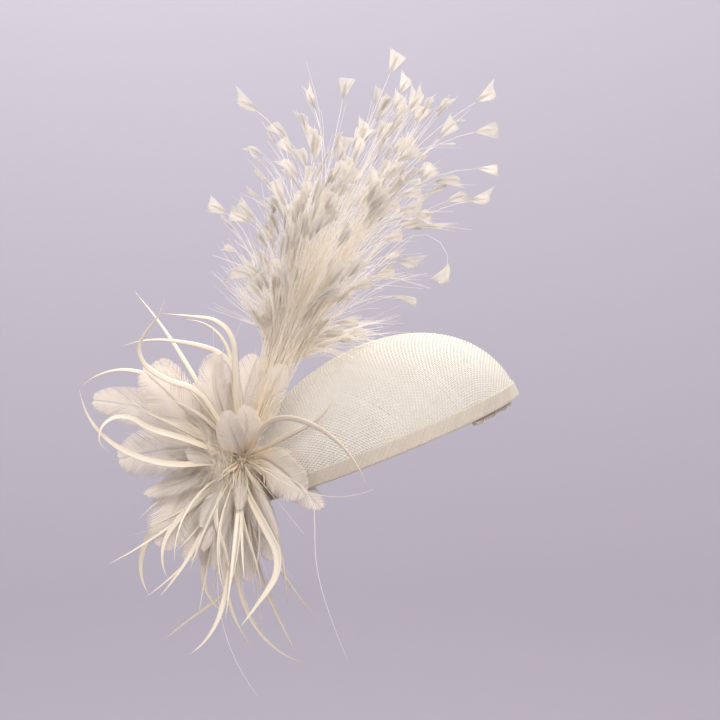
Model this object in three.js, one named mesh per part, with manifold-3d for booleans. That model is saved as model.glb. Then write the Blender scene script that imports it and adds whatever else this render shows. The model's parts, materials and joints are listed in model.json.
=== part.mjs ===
// A feathered fascinator. A blocked sinamay dome is worn on a tilt. A flower of goose feathers
// and curled biots is sewn to its lower end, with a plume of stripped hackles behind it, and a
// comb that swings in three thread loops holds it in the hair.
// Millimetres and degrees. +Z is up, the wearer faces -Y, and the wearer's left is +X.
import * as THREE from "three";
import { mergeVertices } from "three/addons/utils/BufferGeometryUtils.js";
import Module from "manifold-3d";

const { degToRad, lerp } = THREE.MathUtils;
const wasm = await Module();
wasm.setup();

// ---- Driving dimensions ----
const HALF_LENGTH = 88.5; // of the dome, along the wearer's ear-to-ear line
const HALF_WIDTH = 80;
const CROWN = 62.6;
const CROWN_LEVEL = 0.98; // the crown's share of that height at the middle of the dome
const CROWN_SLUMP = 0.1; // and how much more of it there is at the wearer's left end
const WORN_ROLL = -22; // the wearer's left end is the high one
const WORN_PITCH = 2; // the front of the rim dips a little
const SINAMAY = 0.8; // thickness of the outer layer
const LINING = 0.6;
const GAP = 0.3; // between pieces that touch
const RIM_SIDES = 40; // flats round the dome, the same on every layer so that they nest
const BAND_TOP = 6.2; // the folded binding stands this far up from the rim
const BAND_BOTTOM = -2.9;
const RIBBON_TOP = 20;
const FEATHER_THICKNESS = 0.8;
const ROOT_WIDTH = 1.6; // a bare quill, where a feather enters its bundle

// Where the trimming is sewn: an angle round the dome from the wearer's right end towards the
// front, and a height above the rim.
const FLOWER_SEAT = { angle: 33, height: 18.5 };
const PLUME_SEAT = { angle: 12, height: 43.5 };
const HUB_HEIGHT = 14; // from the dome to the knot that the flower's feathers spring from
const KNOT_RADIUS = 6.6;
const PLUME_LENGTH = 20; // of the bound roots of the plume
const PLUME_LIFT = 5.6;
const PLUME_RADIUS = 5;
const PLUME_AXIS = new THREE.Vector3(0.3, -0.02, 0.95).normalize();

const COMB = {
  angle: -32, // round the rim from the wearer's left end, towards the front
  inset: 9.3, // from the rim line to the spine's axis
  height: -4.5,
  spineRadius: 1.6,
  spineLength: 46,
  teeth: 12,
  pitch: 3.8,
  toothRadius: 0.65,
  loopRadius: 2.5,
  loopThread: 0.45,
  loopSpacing: 15.2,
};

// ---- Materials ----
const finish = (color, roughness) =>
  new THREE.MeshStandardMaterial({ color, roughness, metalness: 0 });
const materials = {
  sinamay: finish(0xf5ede2, 0.75),
  lining: finish(0xe8ddce, 0.8),
  binding: finish(0xe6dacb, 0.8),
  ribbon: finish(0xe9dfd1, 0.85),
  wire: finish(0xe8e2da, 0.5),
  felt: finish(0xe7dccd, 0.95),
  thread: finish(0xe2d3bf, 0.8),
  comb: finish(0xddd6cc, 0.35),
  goose: finish(0xe3d6c7, 0.7),
  biot: finish(0xebdfcd, 0.6),
  hackle: finish(0xeaddcc, 0.6),
};

const fascinator = new THREE.Group();
// The dome and everything sewn inside it sit in this group's tilted frame, rim plane at z = 0.
const dome = new THREE.Group();
dome.rotation.set(degToRad(WORN_PITCH), degToRad(WORN_ROLL), 0, "YXZ");
dome.updateMatrix();
fascinator.add(dome);

function addMesh(parent, name, geometry, material) {
  const mesh = new THREE.Mesh(geometry, material);
  mesh.name = name;
  parent.add(mesh);
  return mesh;
}

// ---- Solids ----

// A closed body from rings of points. Each ring runs anticlockwise as seen from where the row of
// rings starts, and both ends are capped.
function loft(rings) {
  const count = rings[0].length;
  const positions = rings.flat().flatMap((point) => point.toArray());
  const index = [];
  for (let ring = 0; ring + 1 < rings.length; ring += 1) {
    for (let j = 0; j < count; j += 1) {
      const a = ring * count + j;
      const b = ring * count + ((j + 1) % count);
      index.push(a, a + count, b, b, a + count, b + count);
    }
  }
  const last = (rings.length - 1) * count;
  for (let j = 2; j < count; j += 1) {
    const next = (j + 1) % count;
    index.push(1, j, next, last + 1, last + next, last + j);
  }
  return indexed(positions, index);
}

function indexed(positions, index) {
  const geometry = new THREE.BufferGeometry();
  geometry.setAttribute("position", new THREE.Float32BufferAttribute(positions, 3));
  geometry.setIndex(index);
  geometry.computeVertexNormals();
  return geometry;
}

// A closed section of [outward, up] offsets from the rim line, carried all the way round it.
function aroundRim(section) {
  const positions = [];
  const index = [];
  for (let i = 0; i < RIM_SIDES; i += 1) {
    const angle = (2 * Math.PI * i) / RIM_SIDES;
    const { point, outward } = rimAt(angle);
    section.forEach(([out, up], j) => {
      positions.push(point.x + outward.x * out, point.y + outward.y * out, up);
      const a = i * section.length + j;
      const b = i * section.length + ((j + 1) % section.length);
      const step = i + 1 < RIM_SIDES ? section.length : -i * section.length;
      index.push(a, a + step, b + step, a, b + step, b);
    });
  }
  return indexed(positions, index);
}

function rimAt(angle) {
  const point = new THREE.Vector3(HALF_LENGTH * Math.cos(angle), HALF_WIDTH * Math.sin(angle), 0);
  const outward = new THREE.Vector3(Math.cos(angle) / HALF_LENGTH, Math.sin(angle) / HALF_WIDTH, 0);
  return { point, outward: outward.normalize() };
}

function asManifold(geometry) {
  const bare = geometry.clone();
  bare.deleteAttribute("normal");
  bare.deleteAttribute("uv");
  const merged = mergeVertices(bare, 1e-3);
  return new wasm.Manifold(
    new wasm.Mesh({
      numProp: 3,
      vertProperties: merged.attributes.position.array,
      triVerts: new Uint32Array(merged.index.array),
    }),
  );
}

function joined(geometries) {
  const solid = geometries.map(asManifold).reduce((sum, next) => sum.add(next));
  const { vertProperties, triVerts } = solid.getMesh();
  return indexed(Array.from(vertProperties), Array.from(triVerts));
}

// ---- The dome ----

const crownAt = (x) => CROWN * (CROWN_LEVEL + (CROWN_SLUMP * x) / HALF_LENGTH);

// One layer of the dome: an ellipse in plan and a quarter ellipse in profile, open below.
function domeLayer(inset, thickness) {
  const rings = 8;
  const profile = [];
  // The rings close up towards the rim, where the wall bends down to meet the binding.
  const angles = Array.from({ length: rings + 1 }, (_, i) => 1 - (1 - i / rings) ** 1.5);
  const quarter = (offset, shares) => {
    for (const share of shares) {
      const angle = (share * Math.PI) / 2;
      const radius = (HALF_LENGTH - offset) * Math.sin(angle);
      profile.push(new THREE.Vector2(radius, (CROWN - offset) * Math.cos(angle)));
    }
  };
  quarter(inset + thickness, angles);
  quarter(inset, angles.toReversed());
  const geometry = new THREE.LatheGeometry(profile, RIM_SIDES).rotateX(Math.PI / 2);
  const position = geometry.attributes.position;
  for (let i = 0; i < position.count; i += 1) {
    const x = position.getX(i);
    position.setY(i, (position.getY(i) * HALF_WIDTH) / HALF_LENGTH);
    position.setZ(i, (position.getZ(i) * crownAt(x)) / CROWN);
  }
  return geometry;
}

// A point pushed out from the dome's centre until it is on the outer layer, then lifted off it.
function pressedToDome(point, lift) {
  const pressed = point.clone();
  for (let i = 0; i < 6; i += 1) {
    const scaled = new THREE.Vector3(
      pressed.x / (HALF_LENGTH + lift),
      pressed.y / (HALF_WIDTH + lift),
      pressed.z / (crownAt(pressed.x) + lift),
    );
    pressed.divideScalar(scaled.length());
  }
  return pressed;
}

// The place on the dome for a seat, and the direction out of the dome there.
function domeSeat({ angle, height }) {
  const turn = degToRad(angle);
  const point = new THREE.Vector3(-HALF_LENGTH, 0, height);
  for (let i = 0; i < 12; i += 1) {
    const reach = Math.sqrt(1 - (height / crownAt(point.x)) ** 2);
    point.x = -HALF_LENGTH * reach * Math.cos(turn);
    point.y = -HALF_WIDTH * reach * Math.sin(turn);
  }
  const outward = new THREE.Vector3(
    point.x / HALF_LENGTH ** 2,
    point.y / HALF_WIDTH ** 2,
    point.z / crownAt(point.x) ** 2,
  ).normalize();
  return { point, outward };
}

function addDome() {
  addMesh(dome, "sinamay_outer", domeLayer(0, SINAMAY), materials.sinamay);
  addMesh(dome, "sinamay_lining", domeLayer(SINAMAY + GAP, LINING), materials.lining);
}

// The rim wire lies under the edges of both layers, inside the fold of the binding.
function addRim() {
  const wireRadius = 0.7;
  const wire = [];
  for (let i = 0; i < 6; i += 1) {
    const turn = (i * Math.PI) / 3;
    wire.push([-0.85 + wireRadius * Math.cos(turn), -1.1 + wireRadius * Math.sin(turn)]);
  }
  addMesh(dome, "rim_wire", aroundRim(wire), materials.wire);

  const binding = [
    [-2.65, BAND_BOTTOM],
    [1.1, BAND_BOTTOM],
    [0.85, BAND_TOP],
    [0.15, BAND_TOP],
    [0.4, -2.2],
    [-2.05, -2.2],
    [-2.5, BAND_TOP],
    [-3.1, BAND_TOP],
  ];
  addMesh(dome, "rim_binding", aroundRim(binding), materials.binding);

  // The grosgrain band against the head leans in with the wall of the dome.
  const ribbon = [
    [-4.3, -1.5],
    [-3.5, -1.5],
    [-3.5, BAND_TOP],
    [-8.6, RIBBON_TOP],
    [-9.4, RIBBON_TOP],
    [-4.3, BAND_TOP],
  ];
  addMesh(dome, "head_ribbon", aroundRim(ribbon), materials.ribbon);
}

// ---- The comb ----

// The comb's own frame: +X along the spine, +Y in from the rim, +Z up.
function combFrame() {
  const { point, outward } = rimAt(degToRad(COMB.angle));
  const frame = new THREE.Group();
  frame.position.copy(point).addScaledVector(outward, -COMB.inset);
  frame.position.z = COMB.height;
  frame.rotation.z = Math.atan2(-outward.y, -outward.x) - Math.PI / 2;
  dome.add(frame);
  return frame;
}

function combTooth(x) {
  const line = new THREE.QuadraticBezierCurve3(
    new THREE.Vector3(x, 0, 0),
    new THREE.Vector3(x, 1, 17),
    new THREE.Vector3(x, 10, 35),
  );
  const section = new THREE.Shape().absarc(0, 0, COMB.toothRadius, 0, 2 * Math.PI);
  const options = { extrudePath: line, steps: 5, curveSegments: 6, bevelEnabled: false };
  return new THREE.ExtrudeGeometry(section, options);
}

function addComb() {
  const frame = combFrame();
  const { spineRadius, spineLength, teeth, pitch } = COMB;
  const spine = new THREE.CylinderGeometry(spineRadius, spineRadius, spineLength, 12);
  const parts = [spine.rotateZ(Math.PI / 2)];
  for (let i = 0; i < teeth; i += 1) parts.push(combTooth((i - (teeth - 1) / 2) * pitch));
  addMesh(frame, "hair_comb", joined(parts), materials.comb);

  ["front", "middle", "back"].forEach((place, i) => {
    const loop = new THREE.TorusGeometry(COMB.loopRadius, COMB.loopThread, 6, 12);
    const mesh = addMesh(frame, `comb_loop_${place}`, loop, materials.thread);
    mesh.rotation.y = Math.PI / 2;
    mesh.position.x = (i - 1) * COMB.loopSpacing;
  });
}

// ---- Feathers ----

// A feather's line. Its heading (0 towards the wearer's left, 90 up) and its lean to the front
// are given at equally spaced stations along it, and change evenly from one to the next.
function featherLine(start, length, headings, leans, from, steps) {
  const at = (values, t) => {
    const place = t * (values.length - 1);
    const station = Math.min(Math.floor(place), values.length - 2);
    return degToRad(lerp(values[station], values[station + 1], place - station));
  };
  const directionAt = (t) => {
    const heading = at(headings, t);
    const lean = at(leans, t);
    const level = Math.cos(lean);
    return new THREE.Vector3(level * Math.cos(heading), -Math.sin(lean), level * Math.sin(heading));
  };
  const fine = 96;
  const points = [start.clone()];
  for (let i = 0; i < fine; i += 1) {
    const step = directionAt((i + 0.5) / fine).multiplyScalar(length / fine);
    points.push(points[i].clone().add(step));
  }
  const line = [];
  for (let k = 0; k <= steps; k += 1) {
    const t = lerp(from / length, 1, k / steps);
    const place = Math.min(t * fine, fine - 1e-6);
    const i = Math.floor(place);
    const point = points[i].clone().lerp(points[i + 1], place - i);
    line.push({ t, point, along: directionAt(t) });
  }
  return line;
}

// A blade along a line: widthAt gives its width, turn rolls its face away from the front, and
// cup lifts its two edges above the quill, as a share of the half width.
function blade(line, widthAt, turn, cup) {
  const thick = FEATHER_THICKNESS / 2;
  const front = new THREE.Vector3(0, -1, 0);
  const rings = line.map(({ t, point, along }) => {
    const side = new THREE.Vector3().crossVectors(along, front).normalize();
    side.applyAxisAngle(along, degToRad(turn));
    const face = new THREE.Vector3().crossVectors(side, along);
    const half = widthAt(t) / 2;
    const lift = cup * half;
    const flat = [[-half, -thick], [half, -thick], [half, thick], [-half, thick]];
    const cupped = [
      [-half, lift - thick],
      [0, -thick],
      [half, lift - thick],
      [half, lift + thick],
      [0, thick],
      [-half, lift + thick],
    ];
    return (cup > 0 ? cupped : flat).map(([across, out]) =>
      point.clone().addScaledVector(side, across).addScaledVector(face, out),
    );
  });
  return loft(rings);
}

// Broad and round-ended, on a bare quill.
const petalWidth = (width) => (t) => {
  const open = THREE.MathUtils.smoothstep(t, 0.1, 0.42);
  return Math.max(ROOT_WIDTH, width * open * Math.sin(Math.PI * Math.min(t * 0.9, 0.88)) ** 0.6);
};
// A narrow strip that tapers to a point.
const biotWidth = (width) => (t) =>
  Math.max(0.8, width * Math.min(1, t * 3.2) * Math.min(1, (1 - t) * 1.9) ** 0.8);
// Bare but for a tip trimmed to an arrowhead, widest at its far end.
const hackleWidth = (length, tip, width) => (t) =>
  lerp(1, width, Math.max(0, 1 - ((1 - t) * length) / tip));

// [name, length, headings, leans, width, turn, where it leaves the knot]
const PETALS = [
  ["petal_left", 76, [164, 166, 190, 190], [28, 5], 26, 10, 9],
  ["petal_upper_left", 81, [144, 140, 132, 138], [4, 10], 24, 0, 9],
  ["petal_upper_left_back", 84, [152, 138, 122, 116], [-14, -14], 20, 0, 9],
  ["petal_upper_shaded", 69, [104, 118, 102, 64], [18, 8], 18, -28, 9],
  ["petal_upper_right", 66, [98, 88, 76, 72], [-16, -16], 22, 10, 9],
  ["petal_centre_left", 47, [96, 110, 108, 68], [68, 24], 14, 0, 9],
  ["petal_centre_right", 42, [86, 80, 82, 124], [60, 8], 14, 15, 9],
  ["petal_lower_left", 74, [-174, -146, -114, -106], [6, 14], 26, 0, 11],
  ["petal_over_brim", 52, [32, -24, -40, -46], [38, 26], 22, 20, 9],
  ["petal_lower_right", 55, [-78, -76, -76, -76], [-10, 5], 16, 0, 9],
  ["petal_far_left", 124, [146, 154, 168, 176], [-28, -34], 21, 0, 9],
];

const BIOTS = [
  ["biot_spike", 141, [126, 120, 126, 134], [-24, -30], 5, 40, 9],
  ["biot_low_arch", 127, [94, 90, 104, 164, 176, 202], [0, 20], 6, 40, 9],
  ["biot_top_arch", 127, [96, 92, 90, 94, 174, 176], [40, -6], 7, 40, 9],
  ["biot_inner_arch", 103, [100, 94, 106, 180], [-30, 24], 5, 40, 9],
  ["biot_left_hook", 134, [116, 118, 118, 166, 138, 44, 74], [34, 10], 6, 40, 9],
  ["biot_far_arch", 129, [134, 132, 162, 226], [-21, -4], 6, 40, 9],
  ["biot_left_long", 125, [-178, -180, -212, -262], [48, 4], 6, 40, 9],
  ["biot_left_loop", 120, [154, 156, 156, 164, 142, 230, 340], [46, 20], 6, 40, 9],
  ["biot_low_far_left", 111, [-138, -152, -122, -60], [-6, -6], 8, 20, 9],
  ["biot_low_left", 89, [-138, -142, -124, -60], [19, 10], 6, 30, 9],
  ["biot_low_left_sweep", 94, [-132, -112, -120, -132], [26, 8], 5, 30, 9],
  ["biot_low_cross", 99, [-106, -118, -100, -30], [2, 0], 7, 30, 9],
  ["biot_low_curl", 122, [-104, -86, -100, -106, -146], [30, 8], 7, 30, 9],
  ["biot_low_outward", 141, [-102, -82, -110, -146, -138], [-23, -12], 5, 30, 9],
  ["biot_low_long", 138, [-96, -96, -66, -16], [-14, 16], 6, 30, 9],
  ["biot_low_right", 129, [-86, -86, -68, -64], [-26, -6], 6, 30, 9],
  ["biot_cream", 112, [-90, -60, -60, -126, -128], [38, 0], 8, 30, 9],
  ["biot_brim_hook", 122, [50, 66, -10, -42, -70], [60, -6], 6, 40, 9],
  ["biot_brim_up", 75, [34, 28, 28, 70], [36, 6], 5, 30, 9],
];

// Long stripped quills that hang from the flower: [name, length, headings, leans, tip length,
// tip width, where it leaves the knot]
const QUILLS = [
  ["quill_low_right", 60, [-46, -48, -50], [34, 14], 10, 0.8, 9],
  ["quill_hair", 161, [-12, -16, -94, -72, -66], [54, 0], 10, 0.8, 9],
  ["quill_lowest", 143, [-104, -104, -76, -52], [16, 4], 10, 0.8, 9],
];

function addFlower() {
  const { point, outward } = domeSeat(FLOWER_SEAT);
  const inWorld = (position) => position.clone().applyMatrix4(dome.matrix);
  const hub = inWorld(point.clone().addScaledVector(outward, HUB_HEIGHT));
  addMesh(dome, "flower_pad", pressedPad(point, outward, 11, 2), materials.felt);
  addMesh(dome, "flower_stem", flowerStem(point, outward), materials.thread);

  for (const [name, length, headings, leans, width, turn, from] of PETALS) {
    const line = featherLine(hub, length, headings, leans, from, 8);
    addMesh(fascinator, name, blade(line, petalWidth(width), turn, 0.25), materials.goose);
  }
  for (const [name, length, headings, leans, width, turn, from] of BIOTS) {
    const line = featherLine(hub, length, headings, leans, from, 12);
    addMesh(fascinator, name, blade(line, biotWidth(width), turn, 0), materials.biot);
  }
  for (const [name, length, headings, leans, tip, width, from] of QUILLS) {
    const line = featherLine(hub, length, headings, leans, from, 10);
    addMesh(fascinator, name, blade(line, hackleWidth(length, tip, width), 0, 0), materials.hackle);
  }
}

// A felt disc that follows the dome, under the knot.
function pressedPad(centre, outward, radius, thickness) {
  const rings = 3;
  const sides = 20;
  const across = new THREE.Vector3(0, 0, 1).cross(outward).normalize();
  const up = new THREE.Vector3().crossVectors(outward, across);
  const at = (ring, j, lift) => {
    const reach = (radius * ring) / rings;
    const turn = (2 * Math.PI * j) / sides;
    const flat = centre.clone();
    flat.addScaledVector(across, reach * Math.cos(turn));
    flat.addScaledVector(up, reach * Math.sin(turn));
    return pressedToDome(flat, lift);
  };
  const positions = [];
  const index = [];
  const low = GAP * 1.5;
  for (const lift of [low, low + thickness]) {
    positions.push(...at(0, 0, lift).toArray());
    for (let ring = 1; ring <= rings; ring += 1) {
      for (let j = 0; j < sides; j += 1) positions.push(...at(ring, j, lift).toArray());
    }
  }
  const side = 1 + rings * sides;
  const vertex = (top, ring, j) => top * side + 1 + (ring - 1) * sides + (j % sides);
  for (let j = 0; j < sides; j += 1) {
    index.push(side, vertex(1, 1, j), vertex(1, 1, j + 1));
    index.push(0, vertex(0, 1, j + 1), vertex(0, 1, j));
    for (let ring = 1; ring < rings; ring += 1) {
      const [a, b] = [vertex(1, ring, j), vertex(1, ring, j + 1)];
      const [c, d] = [vertex(1, ring + 1, j), vertex(1, ring + 1, j + 1)];
      index.push(a, c, d, a, d, b);
      index.push(a - side, d - side, c - side, a - side, b - side, d - side);
    }
    const [low0, low1] = [vertex(0, rings, j), vertex(0, rings, j + 1)];
    const [top0, top1] = [vertex(1, rings, j), vertex(1, rings, j + 1)];
    index.push(low0, low1, top1, low0, top1, top0);
  }
  return indexed(positions, index);
}

// The taped bundle of stems, flared where it meets the pad and swollen to a knot at its end.
function flowerStem(point, outward) {
  const foot = 3.2;
  const profile = [
    [0, foot],
    [5, foot],
    [4, foot + 3],
    [KNOT_RADIUS * 0.8, HUB_HEIGHT - 4],
    [KNOT_RADIUS, HUB_HEIGHT],
    [KNOT_RADIUS * 0.8, HUB_HEIGHT + 4],
    [0, HUB_HEIGHT + KNOT_RADIUS],
  ].map(([radius, height]) => new THREE.Vector2(radius, height));
  const geometry = new THREE.LatheGeometry(profile, 14);
  const turn = new THREE.Quaternion().setFromUnitVectors(new THREE.Vector3(0, 1, 0), outward);
  return geometry.applyQuaternion(turn).translate(...point.toArray());
}

// ---- The plume ----

// [name, seat across and back in the collar, length, headings, leans, tip length, tip width]
const HACKLES = [
  ["hackle_bright_low", [2.4, -3], 119, [34, 54, 50, -24], [16, 24], 16, 14],
  ["hackle_bright_right", [0, -3], 142, [50, 54, 64, -2], [10, 22], 14, 10],
  ["hackle_bright_left", [-2.4, -3], 79, [74, 98, 176], [18, 16], 14, 10],
  ["hackle_droop", [3.6, 0], 164, [38, 56, 40, -140], [2, 10], 12, 10],
  ["hackle_right", [1.2, 0], 209, [62, 62, 48, 0], [6, 14], 16, 8],
  ["hackle_top", [-1.2, 0], 209, [68, 70, 66], [0, 4], 14, 8],
  ["hackle_left_high", [-3.6, 0], 180, [76, 84, 90, 160], [4, 8], 16, 12],
  ["hackle_right_low", [3.6, 3], 184, [56, 54, 36, 4], [-12, -16], 12, 6],
  ["hackle_upper_right", [1.2, 3], 227, [66, 58, 28], [-8, -2], 14, 7],
  ["hackle_top_middle", [-1.2, 3], 193, [74, 76, 80], [-5, -12], 14, 7],
  ["hackle_left", [-3.6, 3], 122, [90, 98, 110, 162], [-8, -14], 12, 7],
];

// Hackles come strung in bunches: [name, seat, heading, lean]
const BUNCHES = [
  ["hackle_bunch_front", [0, -6], 74, 22],
  ["hackle_bunch_back", [0, 6], 70, -22],
  ["hackle_bunch_left", [-6.4, 0], 92, -3],
  ["hackle_bunch_right", [7, 1.5], 50, -9],
];

// A bunch of hackles bound at the root, fanned out and alternately longer and shorter.
function hackleBunch(start, heading, lean) {
  const quills = 6;
  const parts = [new THREE.SphereGeometry(1.6, 8, 6).translate(...start.toArray())];
  for (let i = 0; i < quills; i += 1) {
    const place = i - (quills - 1) / 2;
    const length = 150 + 22 * (i % 3) - 12 * Math.abs(place);
    const headings = [heading - 5 * place, heading - 7 * place - 4];
    const leans = [lean + (i % 2) * 5, lean + (i % 2) * 8 - 6];
    const line = featherLine(start, length, headings, leans, 0, 7);
    parts.push(blade(line, hackleWidth(length, 13, 8), 25 * place, 0));
  }
  return joined(parts);
}

function addPlume() {
  const { point, outward } = domeSeat(PLUME_SEAT);
  const root = point.clone().addScaledVector(outward, PLUME_LIFT).applyMatrix4(dome.matrix);
  const upright = new THREE.Quaternion().setFromUnitVectors(new THREE.Vector3(0, 1, 0), PLUME_AXIS);
  const bound = new THREE.CylinderGeometry(PLUME_RADIUS * 0.8, PLUME_RADIUS, PLUME_LENGTH, 14);
  bound.translate(0, PLUME_LENGTH / 2, 0).applyQuaternion(upright).translate(...root.toArray());
  addMesh(fascinator, "plume_stem", bound, materials.thread);

  const collar = root.clone().addScaledVector(PLUME_AXIS, PLUME_LENGTH + 2.5);
  const seatAt = ([across, back]) => collar.clone().add(new THREE.Vector3(across, back, 0));
  for (const [name, seat, length, headings, leans, tip, width] of HACKLES) {
    const line = featherLine(seatAt(seat), length, headings, leans, 0, 12);
    addMesh(fascinator, name, blade(line, hackleWidth(length, tip, width), 0, 0), materials.hackle);
  }
  for (const [name, seat, heading, lean] of BUNCHES) {
    addMesh(fascinator, name, hackleBunch(seatAt(seat), heading, lean), materials.hackle);
  }
}

addDome();
addRim();
addComb();
addFlower();
addPlume();

export default fascinator;
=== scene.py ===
"""A feathered fascinator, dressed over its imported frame: woven sinamay, and feathers barb by barb.

Metres. +Z is up, the wearer faces -Y, and the wearer's left is +X.
"""
import json
import math

import bpy
import numpy as np
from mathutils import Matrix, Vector


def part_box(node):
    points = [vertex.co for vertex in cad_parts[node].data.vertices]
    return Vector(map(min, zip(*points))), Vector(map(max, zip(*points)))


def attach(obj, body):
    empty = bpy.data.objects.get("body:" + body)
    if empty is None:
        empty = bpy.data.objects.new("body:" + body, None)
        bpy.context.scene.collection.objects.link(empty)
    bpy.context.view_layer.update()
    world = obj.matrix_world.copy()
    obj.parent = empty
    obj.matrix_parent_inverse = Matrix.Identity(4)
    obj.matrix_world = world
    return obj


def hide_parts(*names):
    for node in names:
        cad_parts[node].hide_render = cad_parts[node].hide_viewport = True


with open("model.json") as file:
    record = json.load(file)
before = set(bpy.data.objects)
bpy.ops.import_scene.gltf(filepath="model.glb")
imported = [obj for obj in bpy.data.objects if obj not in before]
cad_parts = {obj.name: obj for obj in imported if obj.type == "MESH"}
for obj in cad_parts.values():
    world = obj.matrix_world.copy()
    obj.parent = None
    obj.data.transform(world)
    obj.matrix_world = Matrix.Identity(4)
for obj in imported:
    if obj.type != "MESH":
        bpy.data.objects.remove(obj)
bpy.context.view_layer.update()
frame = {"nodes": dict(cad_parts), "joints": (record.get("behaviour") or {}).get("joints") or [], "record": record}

MM = 0.001
FRONT = np.array([0.0, -1.0, 0.0])
RECORD = frame["record"]
CAMERA_PLACE = (-0.0143, -1.054, 0.0515)
PIECE_MIDDLE = (-0.04, 0.0, 0.05)


# ---- Camera, stage and light ----

def add_camera():
    camera = bpy.data.cameras.new("camera")
    camera.lens = 85
    camera.sensor_width = 36
    holder = bpy.data.objects.new("camera", camera)
    holder.location = CAMERA_PLACE
    holder.rotation_euler = (math.pi / 2, 0, 0)
    bpy.context.collection.objects.link(holder)
    bpy.context.scene.camera = holder


def add_stage():
    """A round pale floor well below the piece, turning up into a low wall all the way round."""
    floor, wall, radius, bend = -1.4, 1.1, 3.0, 0.9
    middle_disc, steps, sides = 0.3, 16, 96
    profile = [(middle_disc, floor)]
    for i in range(steps + 1):
        turn = math.pi / 2 * i / steps
        profile.append((radius - bend + bend * math.sin(turn), floor + bend * (1 - math.cos(turn))))
    profile.append((radius, wall))
    turns = [2 * math.pi * i / sides for i in range(sides)]
    points = [(r * math.cos(a), r * math.sin(a), z) for r, z in profile for a in turns]
    faces = [tuple(range(sides))]
    for ring in range(len(profile) - 1):
        for i in range(sides):
            first, after = ring * sides + i, ring * sides + (i + 1) % sides
            faces.append((first, first + sides, after + sides, after))
    mesh = bpy.data.meshes.new("sweep")
    mesh.from_pydata(points, [], faces)
    mesh.polygons.foreach_set("use_smooth", [True] * len(faces))
    sweep = bpy.data.objects.new("sweep", mesh)
    bpy.context.collection.objects.link(sweep)
    material, nodes, links, shader = new_material("sweep", roughness=0.9)
    noise = add_noise(nodes, links, scale=1.5)
    mix_colours(nodes, links, noise, (0.455, 0.428, 0.474), (0.467, 0.440, 0.486), shader)
    mesh.materials.append(material)


def add_light(name, place, target, size, watts, colour):
    """A round soft light at a place, turned towards its target."""
    light = bpy.data.lights.new(name, "AREA")
    light.shape = "DISK"
    light.size = size
    light.energy = watts
    light.color = colour
    holder = bpy.data.objects.new(name, light)
    way = np.array(target) - np.array(place)
    holder.location = place
    holder.rotation_euler = Vector(way).to_track_quat("-Z", "Y").to_euler()
    bpy.context.collection.objects.link(holder)


def add_lights():
    add_light("key", (0.4, -1.5, 0.9), PIECE_MIDDLE, 1.1, 28, (1.0, 0.975, 0.935))
    add_light("fill", (-1.2, -1.3, 0.3), PIECE_MIDDLE, 1.4, 7, (1.0, 0.975, 0.95))
    add_light("back", (0.15, 0.9, 0.9), PIECE_MIDDLE, 0.7, 20, (1.0, 0.96, 0.90))
    add_light("wall", (-0.4, 0.9, 2.4), (-0.4, 3.0, 1.0), 1.3, 58, (0.98, 0.98, 1.0))
    world = bpy.data.worlds.new("world")
    world.use_nodes = True
    background = world.node_tree.nodes["Background"]
    background.inputs["Color"].default_value = (0.86, 0.83, 0.86, 1)
    background.inputs["Strength"].default_value = 1.08
    bpy.context.scene.world = world
    bpy.context.scene.view_settings.view_transform = "Standard"


# ---- Materials ----

def new_material(name, roughness, sheen=0.0):
    material = bpy.data.materials.new(name)
    material.use_nodes = True
    nodes, links = material.node_tree.nodes, material.node_tree.links
    shader = nodes["Principled BSDF"]
    shader.inputs["Roughness"].default_value = roughness
    shader.inputs["Sheen Weight"].default_value = sheen
    return material, nodes, links, shader


def add_noise(nodes, links, scale):
    place = nodes.new("ShaderNodeTexCoord")
    noise = nodes.new("ShaderNodeTexNoise")
    noise.inputs["Scale"].default_value = scale
    noise.inputs["Detail"].default_value = 3.0
    links.new(place.outputs["Object"], noise.inputs["Vector"])
    return noise.outputs["Fac"]


def add_attribute(nodes, name):
    attribute = nodes.new("ShaderNodeAttribute")
    attribute.attribute_name = name
    return attribute.outputs["Fac"]


def mix_colours(nodes, links, factor, first, second, shader=None):
    """A mix of two colours, each a plain colour or the output of another node."""
    mix = nodes.new("ShaderNodeMix")
    mix.data_type = "RGBA"
    links.new(factor, mix.inputs["Factor"])
    for socket, colour in ((mix.inputs["A"], first), (mix.inputs["B"], second)):
        if isinstance(colour, tuple):
            socket.default_value = (*colour, 1)
        else:
            links.new(colour, socket)
    if shader is not None:
        links.new(mix.outputs["Result"], shader.inputs["Base Color"])
    return mix.outputs["Result"]


def add_bump(nodes, links, height, shader, distance, strength=0.5):
    bump = nodes.new("ShaderNodeBump")
    bump.inputs["Strength"].default_value = strength
    bump.inputs["Distance"].default_value = distance
    links.new(height, bump.inputs["Height"])
    links.new(bump.outputs["Normal"], shader.inputs["Normal"])


def feather_material(name, light, shade, warm, see_through):
    """Satin barbs: paler and darker strands, warmer towards the root, with light shining through."""
    material, nodes, links, shader = new_material(name, roughness=0.5, sheen=0.25)
    strands = mix_colours(nodes, links, add_attribute(nodes, "strand"), light, shade)
    mottle = add_noise(nodes, links, scale=90)
    mottled = mix_colours(nodes, links, mottle, strands, light)
    rooted = mix_colours(nodes, links, add_attribute(nodes, "root"), mottled, warm, shader)
    add_bump(nodes, links, add_noise(nodes, links, scale=1400), shader, 0.0001, 0.3)
    through = nodes.new("ShaderNodeBsdfTranslucent")
    links.new(rooted, through.inputs["Color"])
    mix = nodes.new("ShaderNodeMixShader")
    mix.inputs["Fac"].default_value = see_through
    links.new(shader.outputs["BSDF"], mix.inputs[1])
    links.new(through.outputs["BSDF"], mix.inputs[2])
    links.new(mix.outputs["Shader"], nodes["Material Output"].inputs["Surface"])
    return material


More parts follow.
